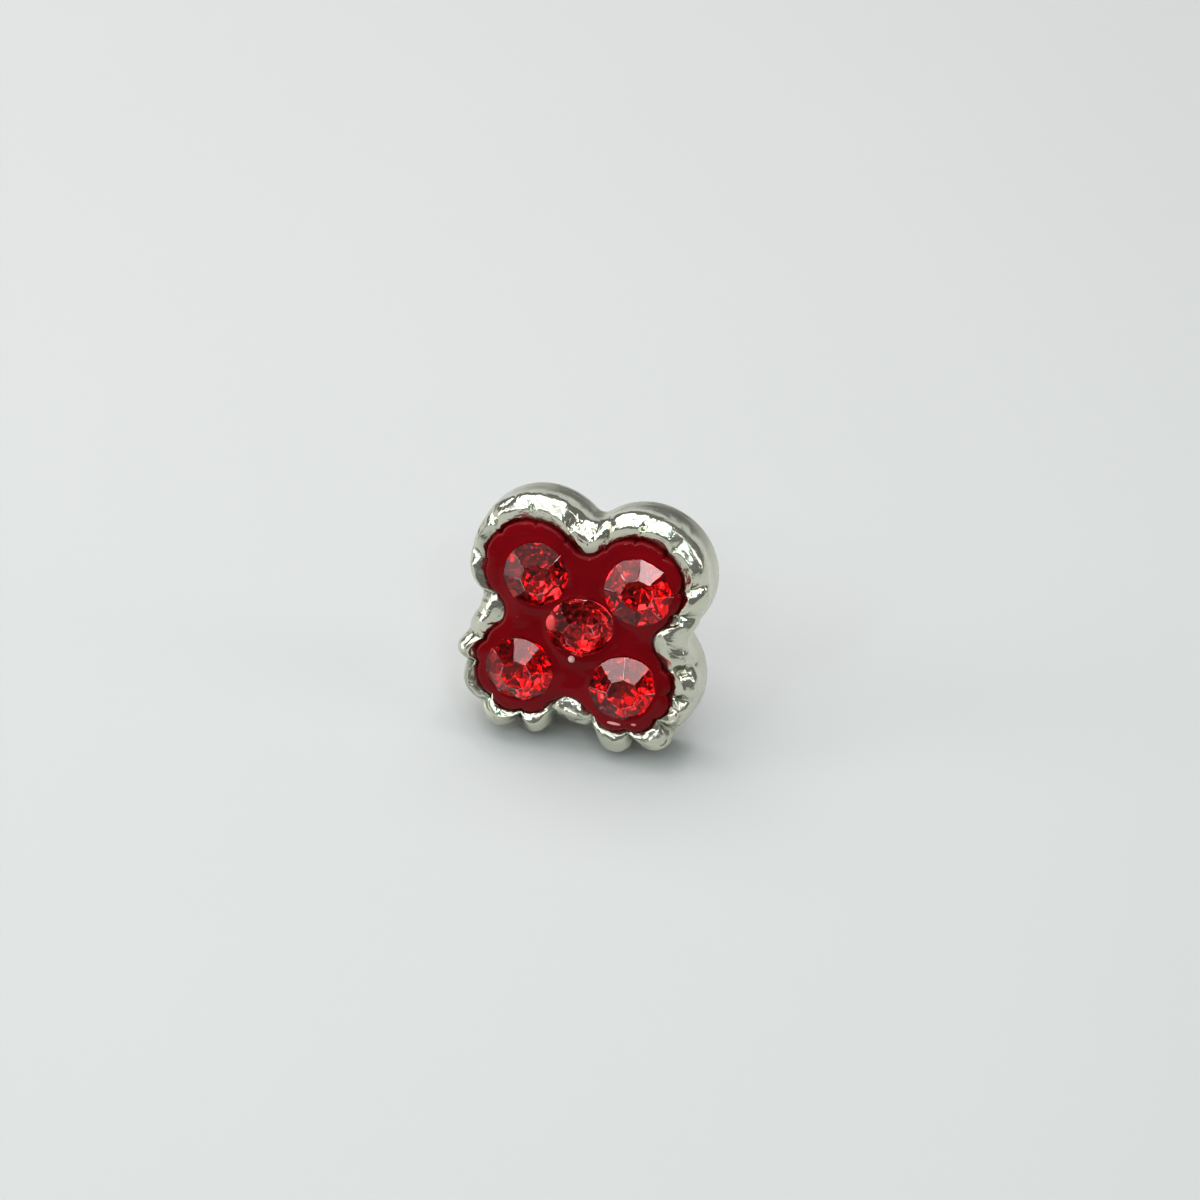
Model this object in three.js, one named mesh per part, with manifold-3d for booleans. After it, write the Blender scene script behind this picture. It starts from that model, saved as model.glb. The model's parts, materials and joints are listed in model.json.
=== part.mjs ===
// A stud earring: a cast quatrefoil cup with a pleated rim, a red fill and five red chatons,
// on a straight post. It rests on its two lower lobes and the tip of the post.
// Units are millimetres. The head is drawn in its own frame, x to the right, y up the face and
// z out of the face with z = 0 on the flat back, and is then leaned back on its post.

import * as THREE from "three";
import { mergeVertices } from "three/addons/utils/BufferGeometryUtils.js";
import Module from "manifold-3d";

const wasm = await Module();
wasm.setup();

// Outline of the head: four round lobes joined by small round corners.
const LOBE_OFFSET = 1.71; // each lobe's centre lies this far across and this far up
const WALL_LOBE_RADIUS = 2.27;
const WALL_CORNER_RADIUS = 0.36;
const WELL_LOBE_RADIUS = 1.53; // the well in the cup, which holds the fill
const WELL_CORNER_RADIUS = 0.6;
const WELL_SHIFT = new THREE.Vector2(-0.07, -0.09); // the well isn't quite in the middle
const CORNER_SHARE = 0.06; // part of each quarter of the outline that half a corner takes

// Cup
const HEAD_DEPTH = 1.95;
const FLOOR_THICKNESS = 0.5;

// Rim pleats: pillows that run across the rim, with sharp creases between them.
const STEPS_PER_PLEAT = 8;
const CREASE_INSET = 0.25;
const CREASE_DROP = 0.18;

// The creases of each lobe, clockwise from the notch before it. Shift is how far each is moved
// from even spacing, in pleat widths, as the hand-finished casting has it. Depth is against a
// full crease, narrow is the power of its profile, reach is how far it runs down the wall, and
// puff is how far the pillow after it swells out (mm).
const LOBE_CREASES = [
  [ // upper right
    { shift: 0.05, depth: 0.8, narrow: 5, reach: 0.2, puff: 0 },
    { shift: -0.1, depth: 0.6, narrow: 8, reach: 0.2, puff: 0 },
    { shift: -0.2, depth: 0.9, narrow: 4, reach: 0.2, puff: 0 },
    { shift: -0.1, depth: 1, narrow: 3, reach: 0.3, puff: 0 },
    { shift: -0.35, depth: 1.1, narrow: 2.6, reach: 0.6, puff: 0 },
  ],
  [ // lower right
    { shift: 0.25, depth: 1.1, narrow: 2.6, reach: 0.8, puff: 0 },
    { shift: 0, depth: 1.1, narrow: 2.6, reach: 0.6, puff: -0.12 },
    { shift: -0.15, depth: 1.2, narrow: 2.2, reach: 0.6, puff: 0.18 },
    { shift: -0.2, depth: 1.2, narrow: 2, reach: 1, puff: 0.2 },
    { shift: -0.15, depth: 1.1, narrow: 2, reach: 1, puff: 0.05 },
  ],
  [ // lower left
    { shift: 0, depth: 1.1, narrow: 2, reach: 1, puff: 0.1 },
    { shift: -0.1, depth: 1.2, narrow: 2, reach: 1, puff: 0.15 },
    { shift: -0.15, depth: 1, narrow: 2, reach: 0.6, puff: -0.05 },
    { shift: -0.1, depth: 1.2, narrow: 2, reach: 0.9, puff: 0 },
    { shift: -0.4, depth: 1.1, narrow: 2.4, reach: 0.8, puff: 0 },
  ],
  [ // upper left
    { shift: -0.05, depth: 1.1, narrow: 2.4, reach: 0.8, puff: -0.08 },
    { shift: 0, depth: 1, narrow: 2.6, reach: 0.7, puff: -0.17 },
    { shift: -0.05, depth: 0.8, narrow: 4, reach: 0.4, puff: 0 },
    { shift: 0, depth: 0.6, narrow: 8, reach: 0.2, puff: 0 },
    { shift: -0.05, depth: 0.8, narrow: 5, reach: 0.2, puff: 0 },
  ],
];
const WALL_SHARE = 0.35; // part of the way across the rim where a crease begins to reach less

// Section of the cup from the back edge over the rim and down the well. Across runs from 0 on
// the wall's outline to 1 on the well's, and crease is the share of a full crease there.
const CUP_SECTION = [
  { across: 0.08, height: 0, crease: 0 },
  { across: 0, height: 0.1, crease: 0 },
  { across: 0, height: 0.8, crease: 0.15 },
  { across: -0.06, height: 1.12, crease: 0.6 },
  { across: -0.13, height: 1.36, crease: 0.9 },
  { across: -0.13, height: 1.54, crease: 1 },
  { across: -0.06, height: 1.7, crease: 1 },
  { across: 0.07, height: 1.82, crease: 1 },
  { across: 0.23, height: 1.91, crease: 1 },
  { across: 0.4, height: HEAD_DEPTH, crease: 0.95 },
  { across: 0.7, height: 1.88, crease: 0.75 },
  { across: 0.98, height: 1.72, crease: 0.55 },
  { across: 1.15, height: 1.5, crease: 0 },
  { across: 1.15, height: FLOOR_THICKNESS, crease: 0 },
];

// Section of the fill from its underside up to where it levels out between the stones.
const SEAT_GAP = 0.06; // clearance between the fill and the cup
const FILL_LEVEL = 1.92;
const FILL_SECTION = [
  { across: 1.15, height: FLOOR_THICKNESS + SEAT_GAP, crease: 0 },
  { across: 1.15, height: 1.54, crease: 0 },
  { across: 1, height: 1.78, crease: 0.55 },
  { across: 1.1, height: 1.87, crease: 0.4 },
  { across: 1.35, height: FILL_LEVEL, crease: 0 },
];

// Chatons: a round girdle, a flat table with eight crown facets and a pointed pavilion.
const STONE_RADIUS = 1.125;
const GIRDLE_SIDES = 40;
const FACETS = 8;
const TABLE_RATIO = 0.46;
const CROWN_HEIGHT = 0.45;
const GIRDLE_THICKNESS = 0.04;
const PAVILION_DEPTH = 1;
const POCKET_SCALE = 1.035; // the pocket in the fill against the stone that sits in it

// Where each stone's girdle centre lies on the face, and how it is turned (degrees): spin about
// its own axis, nod towards the lower edge, and lean towards the right.
const STONES = [
  { name: "stone_centre", x: 0.1, y: -0.05, height: 1.93, spin: -1, nod: 11, lean: 7 },
  { name: "stone_upper_left", x: -1.5, y: 1.46, height: 1.87, spin: 6, nod: 3, lean: 6 },
  { name: "stone_upper_right", x: 1.84, y: 1.56, height: 1.93, spin: 2, nod: -3, lean: 5 },
  { name: "stone_lower_left", x: -1.8, y: -1.84, height: 1.94, spin: 11, nod: 6, lean: 0 },
  { name: "stone_lower_right", x: 1.7, y: -1.79, height: 1.94, spin: 3, nod: 4, lean: 8 },
];

// Post, soldered to the middle of the back
const POST_RADIUS = 0.4;
const POST_LENGTH = 9.5;
const POST_SIDES = 24;
const TIP_CHAMFER = 0.1;
const SOLDER_RADIUS = 0.62;
const SOLDER_LENGTH = 0.2;
const POST_ROOT = 0.2; // how far the post runs into the floor of the cup

const silver = new THREE.MeshStandardMaterial({ color: 0xd3d6cf, roughness: 0.16, metalness: 1 });
const redFill = new THREE.MeshStandardMaterial({ color: 0x7d0713, roughness: 0.1, metalness: 0 });
const redGlass = new THREE.MeshStandardMaterial({ color: 0xa50d1c, roughness: 0.04, metalness: 0.1 });

// A point of the outline. Turn counts quarters clockwise from the top notch, 0 to 4.
function outlinePoint(turn, lobeRadius, cornerRadius) {
  const quarter = Math.floor(turn);
  const share = turn - quarter;
  const reach = Math.sqrt((lobeRadius + cornerRadius) ** 2 - LOBE_OFFSET ** 2);
  const cornerCentre = LOBE_OFFSET + reach;
  const cornerEnd = Math.atan2(-reach, LOBE_OFFSET);
  const lobeStart = Math.atan2(reach, -LOBE_OFFSET);
  const lobeEnd = Math.PI / 2 - lobeStart;
  const point = new THREE.Vector2();
  if (share < CORNER_SHARE) {
    const angle = THREE.MathUtils.lerp(-Math.PI / 2, cornerEnd, share / CORNER_SHARE);
    point.set(Math.cos(angle), Math.sin(angle)).multiplyScalar(cornerRadius);
    point.y += cornerCentre;
  } else if (share < 1 - CORNER_SHARE) {
    const along = (share - CORNER_SHARE) / (1 - 2 * CORNER_SHARE);
    const angle = THREE.MathUtils.lerp(lobeStart, lobeEnd, along);
    point.set(Math.cos(angle), Math.sin(angle)).multiplyScalar(lobeRadius);
    point.addScalar(LOBE_OFFSET);
  } else {
    const along = (share - 1 + CORNER_SHARE) / CORNER_SHARE;
    const angle = THREE.MathUtils.lerp(Math.PI / 2 - cornerEnd, Math.PI, along);
    point.set(Math.cos(angle), Math.sin(angle)).multiplyScalar(cornerRadius);
    point.x += cornerCentre;
  }
  return point.rotateAround(new THREE.Vector2(), (-Math.PI / 2) * quarter);
}

// Stations round the rim: where each lies on the wall's and the well's outline, how deep it is
// in the nearest crease, 0 on a pillow's crown, how far that crease reaches and how far the
// pillow swells there. Clearance makes the well's outline smaller all round.
function rimStations(clearance = 0) {
  const creases = LOBE_CREASES.flatMap((lobe, quarter) => lobe.map((crease, index) =>
    ({ ...crease, turn: quarter + (index + 0.5 + crease.shift) / lobe.length })));
  const stations = [];
  creases.forEach((crease, index) => {
    const next = creases[(index + 1) % creases.length];
    const end = next.turn > crease.turn ? next.turn : next.turn + LOBE_CREASES.length;
    for (let step = 0; step < STEPS_PER_PLEAT; step += 1) {
      const share = step / STEPS_PER_PLEAT;
      const turn = THREE.MathUtils.lerp(crease.turn, end, share) % LOBE_CREASES.length;
      const nearest = share < 0.5 ? crease : next;
      const profile = Math.abs(2 * share - 1) ** nearest.narrow;
      stations.push({
        wall: outlinePoint(turn, WALL_LOBE_RADIUS, WALL_CORNER_RADIUS),
        well: outlinePoint(turn, WELL_LOBE_RADIUS - clearance, WELL_CORNER_RADIUS + clearance)
          .add(WELL_SHIFT),
        depth: profile * nearest.depth,
        reach: nearest.reach,
        swell: (1 - profile) * crease.puff,
      });
    }
  });
  return stations;
}

// One ring of points at a row of a section.
function sectionRing(stations, { across, height, crease }) {
  const onWall = THREE.MathUtils.clamp(1 - across / WALL_SHARE, 0, 1);
  return stations.map(({ wall, well, depth, reach, swell }) => {
    const width = wall.distanceTo(well);
    const pinch = crease * depth * THREE.MathUtils.lerp(1, reach, onWall);
    const inset = CREASE_INSET * pinch - crease * onWall * swell;
    const flat = wall.clone().lerp(well, across + inset / width);
    return new THREE.Vector3(flat.x, flat.y, height - CREASE_DROP * pinch);
  });
}

// A closed solid through rings of equal count, each end closed by a fan to its middle.
function loft(rings) {
  const count = rings[0].length;
  const middles = [rings[0], rings.at(-1)].map((ring) => new THREE.Vector3(0, 0, ring[0].z));
  const points = [...rings.flat(), ...middles];
  const [firstMiddle, lastMiddle] = [points.length - 2, points.length - 1];
  const lastRing = (rings.length - 1) * count;
  const faces = [];
  for (let i = 0; i < count; i += 1) {
    const next = (i + 1) % count;
    faces.push(firstMiddle, i, next);
    faces.push(lastMiddle, lastRing + next, lastRing + i);
    for (let base = 0; base < lastRing; base += count) {
      const [a, b, c, d] = [base + i, base + count + i, base + count + next, base + next];
      faces.push(a, b, c, a, c, d);
    }
  }
  const geometry = new THREE.BufferGeometry().setFromPoints(points);
  geometry.setIndex(faces);
  return geometry;
}

// A solid of revolution about z from rows of radius and height.
function turned(profile, sides) {
  const points = profile.map(([radius, height]) => new THREE.Vector2(radius, height));
  return new THREE.LatheGeometry(points, sides).rotateX(Math.PI / 2);
}

function toSolid(geometry) {
  geometry.deleteAttribute("normal");
  geometry.deleteAttribute("uv");
  const merged = mergeVertices(geometry);
  return new wasm.Manifold(new wasm.Mesh({
    numProp: 3,
    vertProperties: merged.attributes.position.array,
    triVerts: new Uint32Array(merged.index.array),
  }));
}

function toGeometry(solid) {
  const { vertProperties, triVerts } = solid.getMesh();
  const geometry = new THREE.BufferGeometry();
  geometry.setAttribute("position", new THREE.BufferAttribute(vertProperties, 3));
  geometry.setIndex(new THREE.BufferAttribute(triVerts, 1));
  geometry.computeVertexNormals();
  return geometry;
}

function postSolid() {
  return toSolid(turned([
    [0, -POST_LENGTH],
    [POST_RADIUS - TIP_CHAMFER, -POST_LENGTH],
    [POST_RADIUS, TIP_CHAMFER - POST_LENGTH],
    [POST_RADIUS, -SOLDER_LENGTH],
    [SOLDER_RADIUS, 0],
    [SOLDER_RADIUS, POST_ROOT],
    [0, POST_ROOT],
  ], POST_SIDES));
}

function settingSolid() {
  const stations = rimStations();
  return toSolid(loft(CUP_SECTION.map((row) => sectionRing(stations, row)))).add(postSolid());
}

// A chaton about its girdle's centre: flat facets cut on a round blank.
function chatonSolid() {
  const corner = STONE_RADIUS / Math.cos(Math.PI / FACETS);
  const facets = toSolid(turned([
    [0, -GIRDLE_THICKNESS / 2 - PAVILION_DEPTH],
    [corner, -GIRDLE_THICKNESS / 2],
    [corner, GIRDLE_THICKNESS / 2],
    [STONE_RADIUS * TABLE_RATIO, CROWN_HEIGHT],
    [0, CROWN_HEIGHT],
  ], FACETS));
  const blank = toSolid(turned([
    [0, -2 * PAVILION_DEPTH],
    [STONE_RADIUS, -2 * PAVILION_DEPTH],
    [STONE_RADIUS, 2 * CROWN_HEIGHT],
    [0, 2 * CROWN_HEIGHT],
  ], GIRDLE_SIDES));
  return facets.intersect(blank);
}

function stonePlace({ x, y, height, spin, nod, lean }, scale = 1) {
  const turn = new THREE.Euler(...[nod, lean, spin].map(THREE.MathUtils.degToRad), "YXZ");
  return new THREE.Matrix4().compose(
    new THREE.Vector3(x, y, height),
    new THREE.Quaternion().setFromEuler(turn),
    new THREE.Vector3(scale, scale, scale),
  );
}

// The fill with a pocket for each stone.
function fillSolid(chaton) {
  const stations = rimStations(SEAT_GAP);
  const rings = FILL_SECTION.map((row) => sectionRing(stations, row));
  return STONES.reduce((solid, stone) => {
    const pocket = toGeometry(chaton).applyMatrix4(stonePlace(stone, POCKET_SCALE));
    return solid.subtract(toSolid(pocket));
  }, toSolid(loft(rings)));
}

function named(name, geometry, material) {
  const mesh = new THREE.Mesh(geometry, material);
  mesh.name = name;
  return mesh;
}

function buildHead() {
  const chaton = chatonSolid();
  const head = new THREE.Group();
  head.add(named("setting", toGeometry(settingSolid()), silver));
  head.add(named("red_fill", toGeometry(fillSolid(chaton)), redFill));
  for (const stone of STONES) {
    const mesh = named(stone.name, toGeometry(chaton), redGlass);
    mesh.applyMatrix4(stonePlace(stone));
    head.add(mesh);
  }
  return head;
}

// Leans the head back until its lower lobes and the post's tip stand on one level.
function restOnSurface(head) {
  const backEdge = sectionRing(rimStations(), CUP_SECTION[0]);
  const lobeDrop = -Math.min(...backEdge.map((point) => point.y));
  const leanBack = Math.atan2(lobeDrop - POST_RADIUS, POST_LENGTH - TIP_CHAMFER);
  head.rotation.x = Math.PI / 2 - leanBack;
  const earring = new THREE.Group();
  earring.add(head);
  const box = new THREE.Box3().setFromObject(earring, true);
  const middle = box.getCenter(new THREE.Vector3());
  earring.position.set(-middle.x, -middle.y, -box.min.z);
  return earring;
}

export default restOnSurface(buildHead());
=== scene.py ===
"""Dresses the solids of a quatrefoil stud earring: a gathered silver rim, a glossy red fill, five
cut stones with foiled backs and a plain pale stage. Lengths are in metres. The head is drawn in
its own frame, x across, y up the face and z out of the face, and is then laid on the solids."""

import json
import math

import bmesh
import bpy
import numpy as np
from bpy.props import FloatProperty, FloatVectorProperty, IntProperty, PointerProperty
from mathutils import Matrix, Vector
from mathutils.geometry import delaunay_2d_cdt


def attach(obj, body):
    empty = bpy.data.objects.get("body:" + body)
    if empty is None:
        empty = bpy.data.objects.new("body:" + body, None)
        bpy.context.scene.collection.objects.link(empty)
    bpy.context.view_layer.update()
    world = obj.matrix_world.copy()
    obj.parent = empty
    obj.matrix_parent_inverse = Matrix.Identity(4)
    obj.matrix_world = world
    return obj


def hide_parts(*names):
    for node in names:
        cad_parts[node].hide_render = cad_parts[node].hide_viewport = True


bl_info = {
    "name": "Stud earring",
    "version": (1, 0, 0),
    "blender": (4, 5, 0),
    "location": "3D View > Sidebar > Earring",
    "description": "Makes a quatrefoil stud earring with red stones, and a stage for it",
    "category": "Object",
}

MM = 0.001

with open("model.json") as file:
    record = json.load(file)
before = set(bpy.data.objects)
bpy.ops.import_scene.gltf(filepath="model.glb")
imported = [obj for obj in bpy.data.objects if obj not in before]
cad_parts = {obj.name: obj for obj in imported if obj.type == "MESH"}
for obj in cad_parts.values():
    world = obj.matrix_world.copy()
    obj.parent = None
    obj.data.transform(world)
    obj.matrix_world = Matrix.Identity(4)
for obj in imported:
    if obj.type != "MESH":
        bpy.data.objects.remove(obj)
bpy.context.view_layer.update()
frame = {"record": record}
MOUNTS = {mount["name"]: mount for mount in frame["record"]["mounts"]}

# The creases of the rim: how far each is moved from even spacing in pleat widths, how deep it is
# against a full one, how narrow it is, how far it runs down the wall and how far the pillow after
# it swells out (mm). One block for each lobe, clockwise from the notch before it, starting at the
# upper right.
CREASE_PARTS = ("shift", "depth", "narrow", "reach", "puff")
CREASES = (
    (
        (0.05, 0.8, 5, 0.2, 0),
        (-0.1, 0.6, 8, 0.2, 0),
        (-0.2, 0.9, 4, 0.2, 0),
        (-0.1, 1, 3, 0.3, 0),
        (-0.35, 1.1, 2.6, 0.6, 0),
    ),
    (
        (0.25, 1.1, 2.6, 0.8, 0),
        (0, 1.1, 2.6, 0.6, -0.12),
        (-0.15, 1.2, 2.2, 0.6, 0.18),
        (-0.2, 1.2, 2, 1, 0.2),
        (-0.15, 1.1, 2, 1, 0.05),
    ),
    (
        (0, 1.1, 2, 1, 0.1),
        (-0.1, 1.2, 2, 1, 0.15),
        (-0.15, 1, 2, 0.6, -0.05),
        (-0.1, 1.2, 2, 0.9, 0),
        (-0.4, 1.1, 2.4, 0.8, 0),
    ),
    (
        (-0.05, 1.1, 2.4, 0.8, -0.08),
        (0, 1, 2.6, 0.7, -0.17),
        (-0.05, 0.8, 4, 0.4, 0),
        (0, 0.6, 8, 0.2, 0),
        (-0.05, 0.8, 5, 0.2, 0),
    ),
)
WALL_SHARE = 0.35  # part of the way across the rim where a crease begins to reach less
FIXED_HEIGHT = 0.4  # height above the back (mm) where the surface begins to wander
PLEATED_GAIN = 1.3  # how much sooner the pleated finish is full than the creases are
ROLLED_STEP = 0.04  # distance (mm) between rows of the section in the noise along the rim

# The cup's section from the back over the rim and down the well: the way across from the wall's
# outline (0) to the well's (1), the height in mm and the share of a full crease. The back and its
# chamfer are flat, and the rest is a smooth curve.
CUP_BACK = (
    (0.5, 0, 0),
    (0.16, 0, 0),
    (0.08, 0, 0),
)
CUP_SECTION = (
    (0, 0.1, 0),
    (0, 0.5, 0),
    (0, 0.8, 0.15),
    (-0.06, 1.12, 0.6),
    (-0.13, 1.34, 0.9),
    (-0.13, 1.52, 1),
    (-0.06, 1.69, 1),
    (0.07, 1.82, 1),
    (0.23, 1.91, 1),
    (0.4, 1.95, 0.95),
    (0.54, 1.93, 0.85),
    (0.7, 1.88, 0.75),
    (0.85, 1.81, 0.65),
    (0.98, 1.72, 0.55),
    (1.08, 1.62, 0.4),
    (1.15, 1.5, 0.2),
    (1.15, 1.2, 0),
    (1.15, 0.5, 0),
)

# The fill's section in the same terms, from its underside over its rounded edge.
FILL_SECTION = (
    (1.17, 0.55, 0),
    (1.17, 1.4, 0),
    (0.95, 1.6, 0.6),
    (0.95, 1.75, 0.57),
    (0.97, 1.82, 0.52),
    (1.02, 1.868, 0.42),
    (1.12, 1.893, 0.25),
    (1.3, 1.91, 0.05),
)

# Where each stone's girdle lies on the face (mm), how it is turned (degrees), as spin about its
# own axis, nod towards the lower edge and lean towards the right, and how dented its foil is.
SEATS = {
    "stone_centre": {"at": (0.1, -0.05, 1.93), "spin": -1, "nod": 11, "lean": 7, "dents": 0.6},
    "stone_upper_left": {"at": (-1.5, 1.46, 1.87), "spin": 6, "nod": 3, "lean": 6, "dents": 0.8},
    "stone_upper_right": {"at": (1.84, 1.56, 1.93), "spin": 2, "nod": -3, "lean": 5, "dents": 0.18},
    "stone_lower_left": {"at": (-1.8, -1.84, 1.94), "spin": 11, "nod": 6, "lean": 0, "dents": 0.35},
    "stone_lower_right": {"at": (1.7, -1.79, 1.94), "spin": 3, "nod": 4, "lean": 8, "dents": 0.3},
}

# Crown facets that catch a small lamp of their own, as the camera sees them: the stone, the
# facet counted anticlockwise from the right and how bright the lamp looks.
CATCHES = (
    ("stone_upper_right", 1, 26),
    ("stone_upper_right", 2, 5),
    ("stone_lower_right", 1, 13),
    ("stone_lower_right", 2, 12),
    ("stone_lower_left", 1, 10),
)

GIRDLE_STEPS = 8  # sides of the girdle for each crown facet
CUT_TOLERANCE = 1e-8  # how exactly a facet is cut (m)
WELD_DISTANCE = 1e-6  # corners of a stone that are nearer than this are one (m)
WORN_ANGLE = 12  # facets that meet at more than this (degrees) get a bevelled edge, painted with a pale highlight on the crown
FACET_MIDDLE = 0.7  # how far out the middle of a crown facet lies, against the girdle
FACE_HEIGHT = 1.95  # height of the face above the flat back (mm)

# Drops on the fill: the middle of each on the face and its half width, length and height (mm), and
# how pale it is. The pale ones are painted glints on the fill's edge; the coral one's brightness is
# partly painted light that the drop focuses.
DROPS = (
    {"at": (-0.84, 0.06, 2.15), "size": (0.19, 0.28, 0.17), "pale": 0.1},
    {"at": (-0.13, -1.15, 1.93), "size": (0.1, 0.11, 0.08), "pale": 1},
    {"at": (1.49, -3.06, 1.9), "size": (0.22, 0.05, 0.04), "pale": 0.8},
    {"at": (2.12, -2.95, 1.9), "size": (0.1, 0.06, 0.04), "pale": 0.5},
    {"at": (-2.24, 0.76, 1.9), "size": (0.17, 0.1, 0.05), "pale": 0.9},
)
DROP_FRINGE = 1.08  # reach of a drop's colour against the drop
EDGE_BLEND = 3  # steps of the fill's spacing over which its face meets its edge
ROW_RATIO = 0.87  # rows of the fill's points against their spacing
EDGE_CLEARANCE = 0.6  # least distance of a point from the fill's edge, against the spacing

POST_SIDES = 48
POST_RINGS = (0.1, 0.3, 0.5, 0.7, 0.9)  # shares of the post's length
SOLDER_STEPS = 8

FLOOR_HALF = 600  # half the floor's width (mm)
SENSOR_WIDTH = 36

# The soft panels: where each stands and the point that it faces, its width and height (mm) and
# the property that holds its power.
PANELS = (
    ("key_panel", (-60, 60, 160), (-60, 60, 0), (220, 170), "key_power"),
    ("front_panel", (-60, -95, 160), (-60, -95, 0), (220, 90), "front_power"),
    ("right_strip", (150, 10, 100), (0, 0, 4), (30, 150), "right_power"),
    ("left_panel", (-170, -60, 60), (0, 0, 4), (75, 150), "left_power"),
)

# The small lamps that make sparks in the stones: where they stand, what they face and their size.
SPARKS = ((60, -95, 120), (-70, -120, 110), (15, 40, 140))
SPARK_TARGET = (0, -4, 4)
SPARK_SIZE = (9, 9)


def length(name, description, default):
    """A length property, its default given in millimetres."""
    return FloatProperty(
        name=name,
        description=description,
        default=default * MM,
        unit="LENGTH",
        subtype="DISTANCE",
        precision=5,
    )


def colour(name, description, default):
    """A colour property."""
    return FloatVectorProperty(
        name=name, description=description, default=default, size=3, subtype="COLOR", min=0, max=1
    )


class SettingSizes(bpy.types.PropertyGroup):
    """Sizes of the cast cup, its gathered rim and its post"""

    lobe_offset: length("Lobe offset", "How far each lobe's centre lies across and up", 1.71)
    wall_lobe_radius: length("Wall lobe radius", "Radius of a lobe of the outer wall", 2.269)
    wall_corner_radius: length("Wall corner radius", "Radius between two lobes of the wall", 0.36)
    well_lobe_radius: length("Well lobe radius", "Radius of a lobe of the well", 1.53)
    well_corner_radius: length("Well corner radius", "Radius between two lobes of the well", 0.6)
    well_left: length("Well left", "How far the well lies left of the middle", 0.07)
    well_down: length("Well down", "How far the well lies below the middle", 0.09)
    corner_share: FloatProperty(
        name="Corner share",
        description="Part of a quarter of the outline that half a corner takes",
        default=0.06,
        subtype="FACTOR",
    )
    crease_inset: length("Crease inset", "How far a crease is pinched inwards", 0.25)
    crease_drop: length("Crease drop", "How far a crease is pressed down", 0.18)
    unevenness: length("Unevenness", "How far the casting's surface wanders", 0.045)
    wrinkle_depth: length("Wrinkle depth", "Depth of the fine wrinkles across the rim", 0.035)
    flute_depth: length("Flute depth", "Depth of the soft flutes across the rim", 0.05)
    steps_per_pleat: IntProperty(
        name="Steps per pleat", description="Faces across one pleat", default=36
    )
    post_radius: length("Post radius", "Radius of the post", 0.4)
    post_length: length("Post length", "Length of the post behind the flat back", 9.5)
    post_root: length("Post root", "How far the post is sunk into the back", 0.2)
    tip_chamfer: length("Tip chamfer", "Chamfer round the post's tip", 0.1)
    solder_radius: length("Solder radius", "Radius of the solder round the post's foot", 0.62)
    solder_length: length("Solder length", "How far the solder climbs the post", 0.2)


class FillSizes(bpy.types.PropertyGroup):
    """Sizes of the red fill between the stones"""

    level: length("Level", "Height of the fill between the stones", 1.92)
    collar_rise: length("Collar rise", "How far the fill climbs a stone's edge", 0.035)
    collar_width: length("Collar width", "Width of that collar", 0.13)
    wave_height: length("Wave height", "Height of the soft waves of its face", 0.012)
    spacing: length("Spacing", "Distance between the points of its surface", 0.06)
    edge_stride: IntProperty(
        name="Edge stride", description="Stations of the rim for each one of the fill", default=2
    )
    seat_scale: FloatProperty(
        name="Seat scale", description="A stone's seat against the stone", default=1.004
    )


class StoneSizes(bpy.types.PropertyGroup):
    """Sizes of one round cut stone"""

    radius: length("Radius", "Radius of the girdle", 1.125)
    table_ratio: FloatProperty(
        name="Table ratio",
        description="Width of the table against the girdle",
        default=0.46,
        subtype="FACTOR",
    )
    crown_height: length("Crown height", "From the girdle's middle up to the table", 0.45)
    pavilion_depth: length("Pavilion depth", "From the girdle down to the point", 1.0)
    girdle_thickness: length("Girdle thickness", "Thickness of the girdle", 0.04)
    edge_width: length("Edge width", "Width of the worn edges between facets", 0.022)
    facets: IntProperty(name="Facets", description="Facets round the crown", default=8)


class Finishes(bpy.types.PropertyGroup):
    """Colours of the metal, the fill and the stones"""

    silver: colour("Silver", "Polished plate", (0.66, 0.66, 0.54))
    # Tarnish; the same colour also paints shade in the creases and a dark reflection along the fill.
    tarnish_and_shade: colour("Tarnish", "Duller metal in the creases", (0.13, 0.14, 0.1))
    fill: colour("Fill", "Body of the red fill", (0.2, 0.001, 0.004))
    fill_deep: colour("Deep fill", "Thicker, darker parts of the fill", (0.15, 0.001, 0.003))
    fleck: colour("Fleck", "Flecks in the fill", (0.6, 0.08, 0.08))
    # Bright coral of the drops, partly painted light that a drop focuses.
    drop: colour("Drop", "Drops on the fill", (0.85, 0.04, 0.04))
    # Painted glints on the fill's edge, given to the pale drops.
    painted_fill_glint: colour("Chip", "Pale chips on the fill", (0.85, 0.5, 0.46))
    glass: colour("Glass", "Red of the stones", (0.9, 0.025, 0.03))
    mirror: colour("Mirror", "Tint of what a stone's facets mirror", (0.75, 0.35, 0.35))
    # Painted highlight along the crown's bevelled facet edges.
    worn: colour("Worn", "Worn edges between facets", (0.8, 0.45, 0.45))
    # The foil's colours for its painted sparkle: the bright one on sparkling dents, the dim one on
    # the rest.
    foil: colour("Foil", "Foil behind the stones", (0.95, 0.7, 0.7))
    painted_dim_foil: colour("Dull foil", "Duller dents in the foil", (0.6, 0.04, 0.05))


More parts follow.
